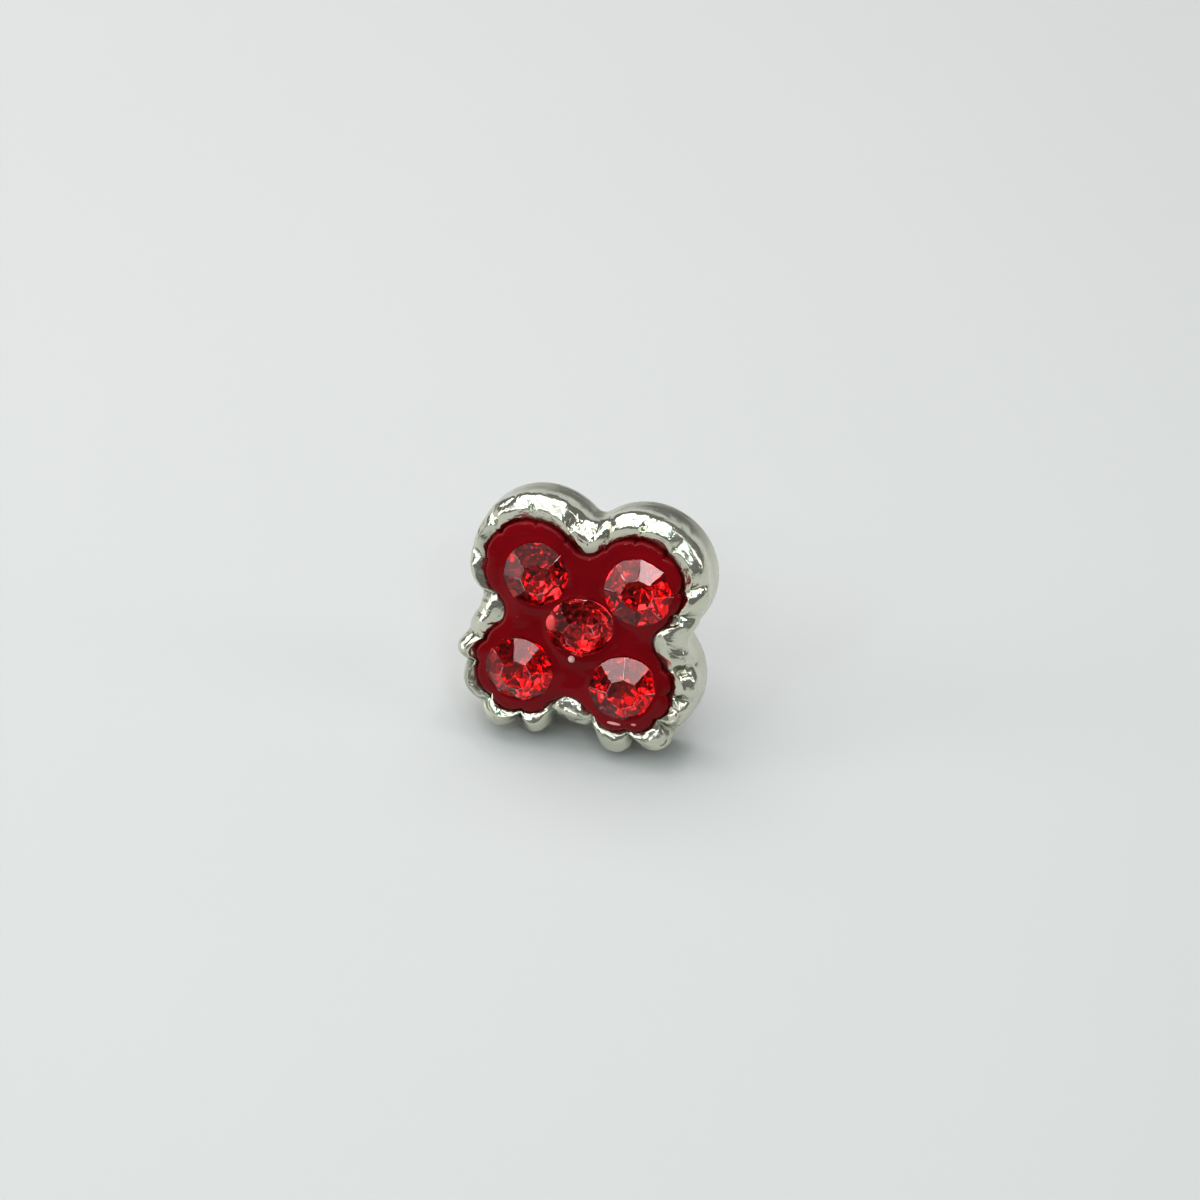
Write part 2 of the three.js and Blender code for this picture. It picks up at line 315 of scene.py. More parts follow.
class StageSetup(bpy.types.PropertyGroup):
    """The floor, the lights and the camera"""

    floor: colour("Floor", "Colour of the floor", (0.5, 0.5, 0.495))
    backdrop: colour("Backdrop", "Colour all round", (0.18, 0.18, 0.185))
    key_power: FloatProperty(
        name="Key power", description="Power of the large panel overhead", default=0.39, unit="POWER"
    )
    front_power: FloatProperty(
        name="Front power", description="Power of the panel over the front", default=0.1, unit="POWER"
    )
    right_power: FloatProperty(
        name="Right power", description="Power of the right strip", default=0.045, unit="POWER"
    )
    left_power: FloatProperty(
        name="Left power", description="Power of the left panel", default=0.11, unit="POWER"
    )
    spark_power: FloatProperty(
        name="Spark power", description="Power of each small lamp", default=0.012, unit="POWER"
    )
    catch_tint: colour("Catch tint", "Colour of the lamps that facets mirror", (0.6, 1, 1))
    catch_size: length("Catch size", "Width of the lamp that a facet mirrors", 14)
    catch_reach: length("Catch reach", "How far such a lamp stands from its facet", 150)
    azimuth: FloatProperty(
        name="Azimuth",
        description="How far round to the right the camera stands",
        default=math.radians(16.97),
        subtype="ANGLE",
    )
    elevation: FloatProperty(
        name="Elevation",
        description="How high above the floor the camera looks from",
        default=math.radians(41.15),
        subtype="ANGLE",
    )
    distance: length("Distance", "From the camera to the middle of the face", 110)
    aim_right: length("Aim right", "How far right of that middle the camera aims", 0.69)
    aim_up: length("Aim up", "How far above that middle the camera aims", 0.86)
    lens: FloatProperty(
        name="Lens", description="Focal length", default=103.4, unit="CAMERA"
    )


class Earring(bpy.types.PropertyGroup):
    """Everything about the earring that can be changed"""

    setting: PointerProperty(type=SettingSizes)
    fill: PointerProperty(type=FillSizes)
    stone: PointerProperty(type=StoneSizes)
    finish: PointerProperty(type=Finishes)
    stage: PointerProperty(type=StageSetup)


# Node trees


class Wire:
    """A socket of a node tree. Arithmetic on it adds Math nodes."""

    def __init__(self, graph, socket):
        self.graph = graph
        self.socket = socket

    def math(self, operation, *values):
        return self.graph.node("ShaderNodeMath", {"operation": operation}, dict(enumerate(values)))

    def __add__(self, other):
        return self.math("ADD", self, other)

    def __radd__(self, other):
        return self.math("ADD", other, self)

    def __sub__(self, other):
        return self.math("SUBTRACT", self, other)

    def __rsub__(self, other):
        return self.math("SUBTRACT", other, self)

    def __mul__(self, other):
        return self.math("MULTIPLY", self, other)

    def __rmul__(self, other):
        return self.math("MULTIPLY", other, self)

    def __abs__(self):
        return self.math("ABSOLUTE", self)

    def rise(self, low, high):
        """0 below low, 1 above high and a smooth rise between."""
        return self.graph.node(
            "ShaderNodeMapRange",
            {"interpolation_type": "SMOOTHSTEP"},
            {"Value": self, "From Min": low, "From Max": high},
        )


class Graph:
    """Adds nodes to a tree."""

    def __init__(self, tree):
        self.tree = tree

    @staticmethod
    def find(sockets, key):
        """A socket by its number, its identifier or its name."""
        if isinstance(key, int):
            return sockets[key]
        return next((s for s in sockets if s.identifier == key), None) or sockets[key]

    def node(self, kind, settings=None, inputs=None, output=0):
        """A new node's output: its settings come first, then the values or wires of its inputs."""
        node = self.tree.nodes.new(kind)
        for name, value in (settings or {}).items():
            setattr(node, name, value)
        for key, value in (inputs or {}).items():
            socket = self.find(node.inputs, key)
            if isinstance(value, Wire):
                self.tree.links.new(value.socket, socket)
            elif socket.type == "RGBA":
                socket.default_value = (*value, 1)
            else:
                socket.default_value = value
        return Wire(self, self.find(node.outputs, output)) if node.outputs else None

    def mix(self, factor, low, high):
        """A colour between two."""
        return self.node(
            "ShaderNodeMix",
            {"data_type": "RGBA"},
            {"Factor_Float": factor, "A_Color": low, "B_Color": high},
            "Result_Color",
        )

    def noise(self, place, scale, detail, seed):
        """Cloudy noise from 0 to 1, its scale in cycles a millimetre."""
        return self.node(
            "ShaderNodeTexNoise",
            {"noise_dimensions": "4D"},
            {"Vector": place, "W": seed, "Scale": scale / MM, "Detail": detail},
        )

    def cells(self, place, scale, seed, output="Distance"):
        """Scattered cells, their scale in cells a millimetre."""
        return self.node(
            "ShaderNodeTexVoronoi",
            {"voronoi_dimensions": "4D", "feature": "F1"},
            {"Vector": place, "W": seed, "Scale": scale / MM},
            output,
        )

    def attribute(self, name, output="Fac"):
        return self.node("ShaderNodeAttribute", {"attribute_name": name}, output=output)

    def vector(self, operation, *values, output=0):
        return self.node(
            "ShaderNodeVectorMath", {"operation": operation}, dict(enumerate(values)), output
        )

    def scaled(self, vector, scale):
        return self.node("ShaderNodeVectorMath", {"operation": "SCALE"}, {0: vector, "Scale": scale})


def new_material(name):
    """A material, its graph and a place in the head's frame, in metres."""
    material = bpy.data.materials.new(name)
    material.use_nodes = True
    material.node_tree.nodes.clear()
    graph = Graph(material.node_tree)
    flat = head_matrix().inverted()
    place = graph.node(
        "ShaderNodeMapping",
        None,
        {
            "Vector": graph.node("ShaderNodeTexCoord", output="Object"),
            "Location": flat.translation,
            "Rotation": tuple(flat.to_euler()),
        },
    )
    return material, graph, place


def finish_material(graph, inputs):
    """Ends a material with one shader."""
    surface = graph.node("ShaderNodeBsdfPrincipled", None, inputs)
    graph.node("ShaderNodeOutputMaterial", None, {"Surface": surface})


def bump(graph, height, distance):
    """A normal from a height, its full distance in millimetres."""
    return graph.node(
        "ShaderNodeBump", None, {"Height": height, "Distance": distance * MM, "Strength": 1}
    )


def silver_material(finish):
    """Bright plate over a casting: patches of polish, crinkled and gathered pleats, fine lines
    drawn round the wall, pits, creases darkened by tarnish and painted shade, and a painted dark
    reflection along the fill where the rim faces down."""
    material, graph, place = new_material("silver_plate")
    patches = graph.noise(place, 0.8, 3, 1)
    grain = graph.noise(place, 7, 4, 2)
    drawn = graph.node("ShaderNodeMapping", None, {"Vector": place, "Scale": (0.12, 0.12, 4)})
    lines = graph.noise(drawn, 2.5, 2, 3)
    pits = graph.noise(place, 3.2, 1, 4).rise(0.76, 0.84)
    crinkles = graph.cells(place, 1.7, 5)
    pleated = graph.attribute("pleated")
    rolled = graph.attribute("rolled", "Vector")
    folds = 1 - abs(graph.noise(rolled, 2.6, 2, 7) - 0.5).rise(0, 0.1)
    # Darker creases: partly tarnish, partly painted shade in the crease valleys; also a little
    # rougher.
    crease_tarnish_and_shade = graph.attribute("crease_depth") * (0.25 + 0.6 * patches)
    across = graph.attribute("across")
    # Painted dark reflection: the inner band beside the fill is darkened where the rim faces down
    # over it, broken by bright spokes.
    breaks = graph.noise(rolled, 1.3, 2, 8).rise(0.42, 0.55)
    upward = graph.node("ShaderNodeSeparateXYZ", None, {0: graph.attribute("inward", "Vector")}, 1)
    painted_dark_reflection = across.rise(0.55, 0.85) * (0.5 - upward).rise(0, 1) * (1 - 0.85 * breaks)
    gathers = graph.cells(rolled, 1.8, 8)
    tone = graph.mix(crease_tarnish_and_shade.rise(0.25, 0.8), finish.silver, finish.tarnish_and_shade)
    tone = graph.mix(painted_dark_reflection * 0.5, tone, finish.tarnish_and_shade)
    tone = graph.mix(pits * 0.8, tone, finish.tarnish_and_shade)
    rough = 0.13 + 0.14 * patches.rise(0.35, 0.75) + 0.08 * crease_tarnish_and_shade + 0.2 * pits
    rough = rough + 0.16 * (1 - pleated) * patches.rise(0.3, 0.6)
    height = grain * 0.12 - pits * 0.9 + graph.noise(place, 2.2, 2, 6) * 0.9
    height = height + (crinkles * 1.2 - folds * 0.35) * pleated + lines * (1 - pleated) * 0.9
    height = height + gathers * across.rise(0.05, 0.45) * pleated * 6
    finish_material(
        graph,
        {
            "Base Color": tone,
            "Metallic": 1,
            "Roughness": rough,
            "Normal": bump(graph, height, 0.014),
        },
    )
    return material


def fill_material(finish):
    """Glossy crimson resin with darker clouds, faint waves, flecks, drops whose coral is partly
    painted focused light, and painted glints.
    """
    material, graph, place = new_material("red_resin")
    clouds = graph.noise(place, 0.7, 3, 6)
    waves = graph.noise(place, 1.6, 1, 7)
    flecks = graph.noise(place, 9, 1, 8).rise(0.74, 0.8)
    tone = graph.mix(clouds.rise(0.3, 0.7), finish.fill_deep, finish.fill)
    tone = graph.mix(flecks * 0.25, tone, finish.fleck)
    ragged = graph.noise(place, 4, 2, 14) - 0.5
    # Drops and their colour: the pale ones are painted glints, the coral one partly painted focused
    # light.
    for drop in DROPS:
        centre = tuple(part * MM for part in drop["at"])
        size = tuple(part * MM * DROP_FRINGE for part in drop["size"])
        off = graph.vector("DIVIDE", graph.vector("SUBTRACT", place, centre), size)
        edge = graph.vector("LENGTH", off, output="Value") + ragged * 0.15
        drop_colour_with_painted_light = Vector(finish.drop).lerp(finish.painted_fill_glint, drop["pale"])
        tone = graph.mix(1 - edge.rise(0.95, 1.02), tone, drop_colour_with_painted_light)
    finish_material(
        graph,
        {
            "Base Color": tone,
            "Roughness": 0.06 + 0.06 * clouds,
            "Specular IOR Level": 0.12,
            "Normal": bump(graph, waves + 0.1 * flecks, 0.02),
        },
    )
    return material


def glass_material(finish):
    """Clear red glass with faint colour bands, a little wear, and a painted highlight: pale,
    mirror-like colour on broken stretches of the crown's bevelled edges.
    """
    material, graph, place = new_material("red_glass")
    bands = graph.noise(place, 1.1, 2, 9)
    wear = graph.noise(place, 12, 3, 10).rise(0.62, 0.8)
    paler = tuple(min(1, part * 1.15 + 0.02) for part in finish.glass)
    # Painted highlight: pale, mirror-like colour on broken stretches of the crown's bevelled edges.
    edge = graph.attribute("worn") * graph.noise(place, 1.8, 2, 15).rise(0.45, 0.62)
    body = graph.mix(bands.rise(0.3, 0.7), finish.glass, paler)
    finish_material(
        graph,
        {
            "Base Color": graph.mix(edge, body, finish.worn),
            "Roughness": 0.004 + 0.05 * wear + 0.2 * edge,
            "Metallic": edge * 0.7,
            "IOR": 1.56,
            "Specular Tint": finish.mirror,
            "Transmission Weight": 1,
        },
    )
    return material


def foil_material(finish):
    """Foil fused to the back of a stone, with small dents that lean all ways and a painted sparkle:
    some dents coloured bright, the rest dim.
    """
    material, graph, place = new_material("stone_foil")
    wrinkles = graph.noise(place, 4, 2, 11)
    dents = graph.cells(place, 3.5, 16, "Color")
    # Painted sparkle: some dents get the bright foil colour and the rest the dim one.
    painted_sparkle = graph.vector("DOT_PRODUCT", dents, (1, 0, 0), output="Value").rise(0.45, 0.6)
    level = graph.node("ShaderNodeNewGeometry", output="Normal")
    lean = graph.scaled(graph.vector("SUBTRACT", dents, (0.5, 0.5, 0.5)), graph.attribute("dented"))
    finish_material(
        graph,
        {
            "Base Color": graph.mix(painted_sparkle, finish.painted_dim_foil, finish.foil),
            "Metallic": 1,
            "Roughness": 0.06 + 0.08 * wrinkles,
            "Normal": graph.vector("NORMALIZE", graph.vector("ADD", level, lean)),
        },
    )
    return material


def floor_material(stage):
    """Pale matt floor with faint clouds."""
    material, graph, place = new_material("pale_floor")
    clouds = graph.noise(place, 0.02, 3, 12)
    grain = graph.noise(place, 1.5, 3, 13)
    darker = tuple(part * 0.94 for part in stage.floor)
    finish_material(
        graph,
        {
            "Base Color": graph.mix(clouds, stage.floor, darker),
            "Roughness": 0.5 + 0.1 * grain,
            "Specular IOR Level": 0.3,
        },
    )
    return material


def new_tree(name, sockets):
    """A Geometry Nodes tree with its inputs and a wire from each, by name."""
    tree = bpy.data.node_groups.new(name, "GeometryNodeTree")
    tree.is_modifier = True
    for label, kind in sockets.items():
        tree.interface.new_socket(name=label, in_out="INPUT", socket_type="NodeSocket" + kind)
    tree.interface.new_socket(name="Geometry", in_out="OUTPUT", socket_type="NodeSocketGeometry")
    graph = Graph(tree)
    entry = tree.nodes.new("NodeGroupInput")
    return graph, {label: Wire(graph, entry.outputs[label]) for label in sockets}


def end_tree(graph, geometry):
    """The tree, with its result wired to its output."""
    output = graph.tree.nodes.new("NodeGroupOutput")
    graph.tree.links.new(geometry.socket, output.inputs["Geometry"])
    return graph.tree


def named(graph, name, kind="FLOAT"):
    """A named attribute in a Geometry Nodes tree."""
    return graph.node("GeometryNodeInputNamedAttribute", {"data_type": kind}, {"Name": name})


def real_and_shown(graph, geometry, material):
    """Makes instances real and gives everything one material."""
    whole = graph.node("GeometryNodeRealizeInstances", None, {"Geometry": geometry})
    return graph.node("GeometryNodeSetMaterial", None, {"Geometry": whole, "Material": material})


def gathered_tree():
    """Pinches a swept section at its creases, swells its pillows, and lets the surface wander
    with fine wrinkles and soft flutes."""
    graph, given = new_tree(
        "Gathered rim",
        {
            "Geometry": "Geometry",
            "Crease Inset": "Float",
            "Crease Drop": "Float",
            "Unevenness": "Float",
            "Wrinkle Depth": "Float",
            "Flute Depth": "Float",
            "Seed": "Float",
            "Material": "Material",
        },
    )
    depth = named(graph, "crease_depth")
    pinch = depth * given["Crease Inset"] - named(graph, "swell")
    inset = graph.scaled(named(graph, "inward", "FLOAT_VECTOR"), pinch)
    drop = graph.scaled((0, 0, -1), depth * given["Crease Drop"])
    pinched = graph.node(
        "GeometryNodeSetPosition",
        None,
        {"Geometry": given["Geometry"], "Offset": graph.vector("ADD", inset, drop)},
    )
    position = graph.node("GeometryNodeInputPosition")
    broad = graph.noise(position, 0.9, 1, given["Seed"]) - 0.5
    fine = graph.noise(position, 3.4, 1, given["Seed"] + 5) - 0.5
    rolled = named(graph, "rolled", "FLOAT_VECTOR")
    wrinkle = 1 - abs(graph.noise(rolled, 1.1, 1.5, given["Seed"] + 9) - 0.5).rise(0, 0.07)
    wrinkle = wrinkle * graph.noise(rolled, 0.7, 1, given["Seed"] + 13).rise(0.42, 0.6)
    flutes = graph.noise(rolled, 1, 1, given["Seed"] + 17).rise(0.3, 0.7) - 1
    flutes = flutes * given["Flute Depth"] * named(graph, "pleated")
    wander = (broad + fine * 0.35 - 0.4) * given["Unevenness"]
    wander = (wander - wrinkle * given["Wrinkle Depth"]) * named(graph, "loose") + flutes
    normal = graph.node("GeometryNodeInputNormal")
    cast = graph.node(
        "GeometryNodeSetPosition",
        None,
        {"Geometry": pinched, "Offset": graph.scaled(normal, wander)},
    )
    return end_tree(graph, real_and_shown(graph, cast, given["Material"]))


def on_seats(graph, seats, stone, scale):
    """A copy of a stone on each seat."""
    copies = graph.node(
        "GeometryNodeInstanceOnPoints",
        None,
        {
            "Points": seats,
            "Instance": graph.node("GeometryNodeObjectInfo", None, {"Object": stone}, "Geometry"),
            "Rotation": named(graph, "turn", "FLOAT_VECTOR"),
            "Scale": scale,
        },
    )
    return graph.node("GeometryNodeRealizeInstances", None, {"Geometry": copies})


def seated_tree():
    """Sets a stone on each seat, with foil below the girdle and glass above."""
    graph, given = new_tree(
        "Stones on seats",
        {
            "Geometry": "Geometry",
            "Stone": "Object",
            "Scale": "Float",
            "Glass": "Material",
            "Foil": "Material",
        },
    )
    stones = on_seats(graph, given["Geometry"], given["Stone"], given["Scale"])
    glass = graph.node(
        "GeometryNodeSetMaterial", None, {"Geometry": stones, "Material": given["Glass"]}
    )
    foiled = graph.node(
        "GeometryNodeSetMaterial",
        None,
        {
            "Geometry": glass,
            "Selection": named(graph, "foiled", "BOOLEAN"),
            "Material": given["Foil"],
        },
    )
    return end_tree(graph, foiled)


def pocketed_tree():
    """Cuts a pocket for a stone at each seat."""
    graph, given = new_tree(
        "Pockets for stones",
        {
            "Geometry": "Geometry",
            "Seats": "Object",
            "Stone": "Object",
            "Scale": "Float",
            "Material": "Material",
        },
    )
    seats = graph.node("GeometryNodeObjectInfo", None, {"Object": given["Seats"]}, "Geometry")
    stones = on_seats(graph, seats, given["Stone"], given["Scale"])
    cut = graph.node(
        "GeometryNodeMeshBoolean",
        {"operation": "DIFFERENCE", "solver": "EXACT"},
        {"Mesh 1": given["Geometry"], "Mesh 2": stones},
    )
    return end_tree(graph, real_and_shown(graph, cut, given["Material"]))


# Meshes


def head_matrix():
    """From the head's frame to the part's, read from the mount at the post's tip behind the head."""
    out = -Vector(MOUNTS["post_tip"]["axis"]).normalized()
    across = Vector((1, 0, 0))
    matrix = Matrix((across, out.cross(across), out)).transposed().to_4x4()
    tip = Vector(MOUNTS["post_tip"]["pos_m"])
    matrix.translation = tip + out * SettingSizes.bl_rna.properties["post_length"].default
    return matrix


def new_object(name, vertices, faces, attributes=None):
    """An object with a float or vector attribute for each point."""
    mesh = bpy.data.meshes.new(name)
    mesh.from_pydata([tuple(v) for v in vertices], [], faces)
    for label, values in (attributes or {}).items():
        values = np.asarray(values, np.float32)
        kind = "FLOAT" if values.ndim == 1 else "FLOAT_VECTOR"
        layer = mesh.attributes.new(label, kind, "POINT")
        layer.data.foreach_set("value" if values.ndim == 1 else "vector", values.ravel())
    mesh.validate()
    piece = bpy.data.objects.new(name, mesh)
    bpy.context.scene.collection.objects.link(piece)
    return piece


def apply_tree(piece, tree, values):
    """Runs a tree on an object and leaves its result as a plain mesh."""
    modifier = piece.modifiers.new(tree.name, "NODES")
    modifier.node_group = tree
    for item in tree.interface.items_tree:
        if item.in_out == "INPUT" and item.name in values:
            modifier[item.identifier] = values[item.name]
    graph = bpy.context.evaluated_depsgraph_get()
    mesh = bpy.data.meshes.new_from_object(piece.evaluated_get(graph), depsgraph=graph)
    piece.modifiers.remove(modifier)
    piece.data = mesh


def put_on_part(piece, slot, *nodes):
    """Lays a finished piece on the part in place of its solids."""
    piece.data.transform(head_matrix())
    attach(piece, "root")
    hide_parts(*nodes)


def outline_point(turn, offset, lobe_radius, corner_radius, corner_share):
    """A point of the outline. Turn counts quarters clockwise from the top notch."""
    quarter = math.floor(turn)
    share = turn - quarter
    reach = math.sqrt((lobe_radius + corner_radius) ** 2 - offset**2)
    lobe_start = math.atan2(reach, -offset)
    corner_end = math.atan2(-reach, offset)
    side = min(share, 1 - share)
    if side < corner_share:
        angle = -math.pi / 2 + (corner_end + math.pi / 2) * side / corner_share
        point = Vector((math.cos(angle), math.sin(angle))) * corner_radius
        point.y += offset + reach
        if share > 0.5:
            point = point.yx
    else:
        along = (share - corner_share) / (1 - 2 * corner_share)
        angle = lobe_start + (math.pi / 2 - 2 * lobe_start) * along
        point = Vector((math.cos(angle), math.sin(angle))) * lobe_radius
        point += Vector((offset, offset))
    return Matrix.Rotation(-math.pi / 2 * quarter, 2) @ point


def rim_stations(sizes):
    """Stations round the rim by name: a point on the wall's and the well's outline, how deep in
    its crease each lies (0 on a pillow's crown), how far that crease reaches and how far the
    pillow swells (m)."""
    quarters = len(CREASES)
    creases = [
        {**dict(zip(CREASE_PARTS, row)), "turn": quarter + (i + 0.5 + row[0]) / len(lobe)}
        for quarter, lobe in enumerate(CREASES)
        for i, row in enumerate(lobe)
    ]
    rim = {name: [] for name in ("wall", "well", "depth", "reach", "swell")}
    for index, crease in enumerate(creases):
        following = creases[(index + 1) % len(creases)]
        start = crease["turn"]
        end = following["turn"] + (quarters if following is creases[0] else 0)
        for step in range(sizes.steps_per_pleat):
            along = step / sizes.steps_per_pleat
            turn = (start + (end - start) * along) % quarters
            for side, lobe, corner in (
                ("wall", sizes.wall_lobe_radius, sizes.wall_corner_radius),
                ("well", sizes.well_lobe_radius, sizes.well_corner_radius),
            ):
                point = outline_point(turn, sizes.lobe_offset, lobe, corner, sizes.corner_share)
                rim[side].append(point)
            nearest = crease if along < 0.5 else following
            profile = abs(2 * along - 1) ** nearest["narrow"]
            rim["depth"].append(profile * nearest["depth"])
            rim["reach"].append(nearest["reach"])
            rim["swell"].append((1 - profile) * crease["puff"] * MM)
    rim = {name: np.array(values) for name, values in rim.items()}
    rim["well"] -= (sizes.well_left, sizes.well_down)
    return rim


def across_rim(rim, across, height):
    """A ring of points part of the way across the rim."""
    flat = rim["wall"] + (rim["well"] - rim["wall"]) * across
    return np.column_stack([flat, np.full(len(flat), height * MM)])


def inward(rim):
    """Unit steps from the wall's outline to the well's."""
    steps = rim["well"] - rim["wall"]
    steps /= np.linalg.norm(steps, axis=1)[:, None]
    return np.column_stack([steps, np.zeros(len(steps))])


def smooth_rows(rows, steps):
    """Rows along a smooth curve through the given ones."""
    rows = np.array(rows, float)
    padded = np.vstack([rows[0], rows, rows[-1]])
    out = []
    for a, b, c, d in zip(padded, padded[1:], padded[2:], padded[3:]):
        for t in np.arange(steps) / steps:
            out.append(
                0.5
                * (
                    2 * b
                    + (c - a) * t
                    + (2 * a - 5 * b + 4 * c - d) * t**2
                    + (3 * b - 3 * c + d - a) * t**3
                )
            )
    return np.array([*out, rows[-1]])


def lofted(rings):
    """Vertices and faces of a closed solid through rings of equal count."""
    count = len(rings[0])
    vertices = [point for ring in rings for point in ring]
    middles = (len(vertices), len(vertices) + 1)
    vertices += [(0, 0, rings[0][0][2]), (0, 0, rings[-1][0][2])]
    faces = []
    for i in range(count):
        j = (i + 1) % count
        last = (len(rings) - 1) * count
        faces += [(middles[0], i, j), (middles[1], last + j, last + i)]
        for base in range(0, last, count):
            faces.append((base + i, base + count + i, base + count + j, base + j))
    return vertices, faces


def turned(profile, sides):
    """Rings of a solid of revolution about z from rows of radius and height."""
    angles = [-2 * math.pi * side / sides for side in range(sides)]
    return [[(r * math.cos(a), r * math.sin(a), z) for a in angles] for r, z in profile]


def rolled_up(rim, height):
    """The rim's length laid round a circle, so that noise along it has no seam."""
    middle = (rim["wall"] + rim["well"]) / 2
    steps = np.linalg.norm(np.roll(middle, -1, 0) - middle, axis=1)
    angle = (np.cumsum(steps) - steps) / steps.sum() * math.tau
    radius = steps.sum() / math.tau
    flat = [radius * np.cos(angle), radius * np.sin(angle), np.full(len(angle), height)]
    return np.column_stack(flat)


def cup_piece(sizes, finish):
    """The cast cup with its gathered rim."""
    rim = rim_stations(sizes)
    rows = np.vstack([CUP_BACK, smooth_rows(CUP_SECTION, 4)])
    vertices, faces = lofted([across_rim(rim, across, height) for across, height, _ in rows])
    on_wall = np.clip(1 - rows[:, 0] / WALL_SHARE, 0, 1)
    share = np.clip(rows[:, 2], 0, 1)
    depths = [
        crease * rim["depth"] * (1 + (rim["reach"] - 1) * wall)
        for crease, wall in zip(share, on_wall)
    ]
    swells = np.outer(share * on_wall, rim["swell"])
    looseness = np.clip(rows[:, 1] - FIXED_HEIGHT, 0, 1)
    pleated = np.clip(share * PLEATED_GAIN, 0, 1)
    rolled = [rolled_up(rim, row * ROLLED_STEP * MM) for row in range(len(rows))]
    # The loft's last two points are the middles of its ends, where nothing moves.
    cup = new_object(
        "setting_cast",
        vertices,
        faces,
        {
            "crease_depth": [*np.concatenate(depths), 0, 0],
            "swell": [*swells.ravel(), 0, 0],
            "loose": [*np.repeat(looseness, len(rim["depth"])), 0, 0],
            "across": [*np.repeat(rows[:, 0], len(rim["depth"])), 0, 0],
            "pleated": [*np.repeat(pleated, len(rim["depth"])), 0, 0],
            "inward": np.vstack([np.tile(inward(rim), (len(rows), 1)), np.zeros((2, 3))]),
            "rolled": np.vstack([*rolled, np.zeros((2, 3))]),
        },
    )
    values = {
        "Crease Inset": sizes.crease_inset,
        "Crease Drop": sizes.crease_drop,
        "Unevenness": sizes.unevenness,
        "Wrinkle Depth": sizes.wrinkle_depth,
        "Flute Depth": sizes.flute_depth,
        "Seed": 2.0,
        "Material": silver_material(finish),
    }
    apply_tree(cup, gathered_tree(), values)
    return cup


def add_post(cup, sizes):
    """Adds the post and its solder to the cup's mesh."""
    radius, foot = sizes.post_radius, sizes.solder_radius
    tip = -sizes.post_length
    rows = [(foot, sizes.post_root), (foot, 0.0)]
    for step in range(1, SOLDER_STEPS + 1):
        angle = math.pi / 2 * step / SOLDER_STEPS
        rows.append(
            (
                foot - (foot - radius) * math.sin(angle),
                -sizes.solder_length * (1 - math.cos(angle)),
            )
        )
    rows += [(radius, tip * share) for share in POST_RINGS]
    rows += [(radius, tip + sizes.tip_chamfer), (radius - sizes.tip_chamfer, tip)]
    vertices, faces = lofted(turned(rows, POST_SIDES))
    post = bpy.data.meshes.new("post")
    post.from_pydata(vertices, [], faces)
    joined = bmesh.new()
    joined.from_mesh(cup.data)
    joined.from_mesh(post)
    joined.to_mesh(cup.data)
    joined.free()
    bpy.data.meshes.remove(post)


def cut_stone(sizes):
    """One stone about its girdle's centre, cut facet by facet from a round blank that is longer
    than the stone."""
    half = sizes.girdle_thickness / 2
    point = half + sizes.pavilion_depth
    blank = bmesh.new()
    bmesh.ops.create_cone(
        blank,
        cap_ends=True,
        segments=sizes.facets * GIRDLE_STEPS,
        radius1=sizes.radius,
        radius2=sizes.radius,
        depth=4 * point,
    )
    pavilion = Vector((sizes.pavilion_depth, 0, -sizes.radius)).normalized()
    cuts = [(Vector((0, 0, sizes.crown_height)), Vector((0, 0, 1)))]
    for facet in range(sizes.facets):
        turn = Matrix.Rotation(2 * math.pi * (facet + 0.5) / sizes.facets, 3, "Z")
        cuts.append((turn @ Vector((sizes.radius, 0, half)), crown_normal(sizes, facet)))
        cuts.append((turn @ Vector((sizes.radius, 0, -half)), turn @ pavilion))
    for place, normal in cuts:
        cut = bmesh.ops.bisect_plane(
            blank,
            geom=[*blank.verts, *blank.edges, *blank.faces],
            plane_co=place,
            plane_no=normal,
            clear_outer=True,
            dist=CUT_TOLERANCE,
        )
        rim = [item for item in cut["geom_cut"] if isinstance(item, bmesh.types.BMEdge)]
        bmesh.ops.edgeloop_fill(blank, edges=rim)
    bmesh.ops.remove_doubles(blank, verts=blank.verts, dist=WELD_DISTANCE)
    edge_glint_layer = blank.faces.layers.float.new("worn")
    worn = bmesh.ops.bevel(
        blank,
        geom=[edge for edge in blank.edges if edge.calc_face_angle(0) > math.radians(WORN_ANGLE)],
        offset=sizes.edge_width / 2,
        segments=2,
        profile=0.5,
        affect="EDGES",
    )
    # Bevel faces on the crown are flagged for the painted edge highlight.
    for face in worn["faces"]:
        face[edge_glint_layer] = float(face.calc_center_median().z > 3 * half)
    bmesh.ops.recalc_face_normals(blank, faces=blank.faces)
    stone = new_object("cut_stone", [], [])
    blank.to_mesh(stone.data)
    blank.free()
    foiled = stone.data.attributes.new("foiled", "BOOLEAN", "FACE")
    for face, flag in zip(stone.data.polygons, foiled.data):
        flag.value = face.center.z < -half * 1.01
    return stone


def seat_turn(seat):
    """How a stone is turned on its seat."""
    nod, lean, spin = (math.radians(seat[key]) for key in ("nod", "lean", "spin"))
    turn = Matrix.Rotation(lean, 3, "Y") @ Matrix.Rotation(nod, 3, "X")
    return turn @ Matrix.Rotation(spin, 3, "Z")


def crown_normal(sizes, facet):
    """The way out of a crown facet of a stone that isn't turned."""
    table = sizes.radius * sizes.table_ratio * math.cos(math.pi / sizes.facets)
    rise = sizes.crown_height - sizes.girdle_thickness / 2
    turn = Matrix.Rotation(2 * math.pi * (facet + 0.5) / sizes.facets, 3, "Z")
    return turn @ Vector((rise, 0, sizes.radius - table)).normalized()


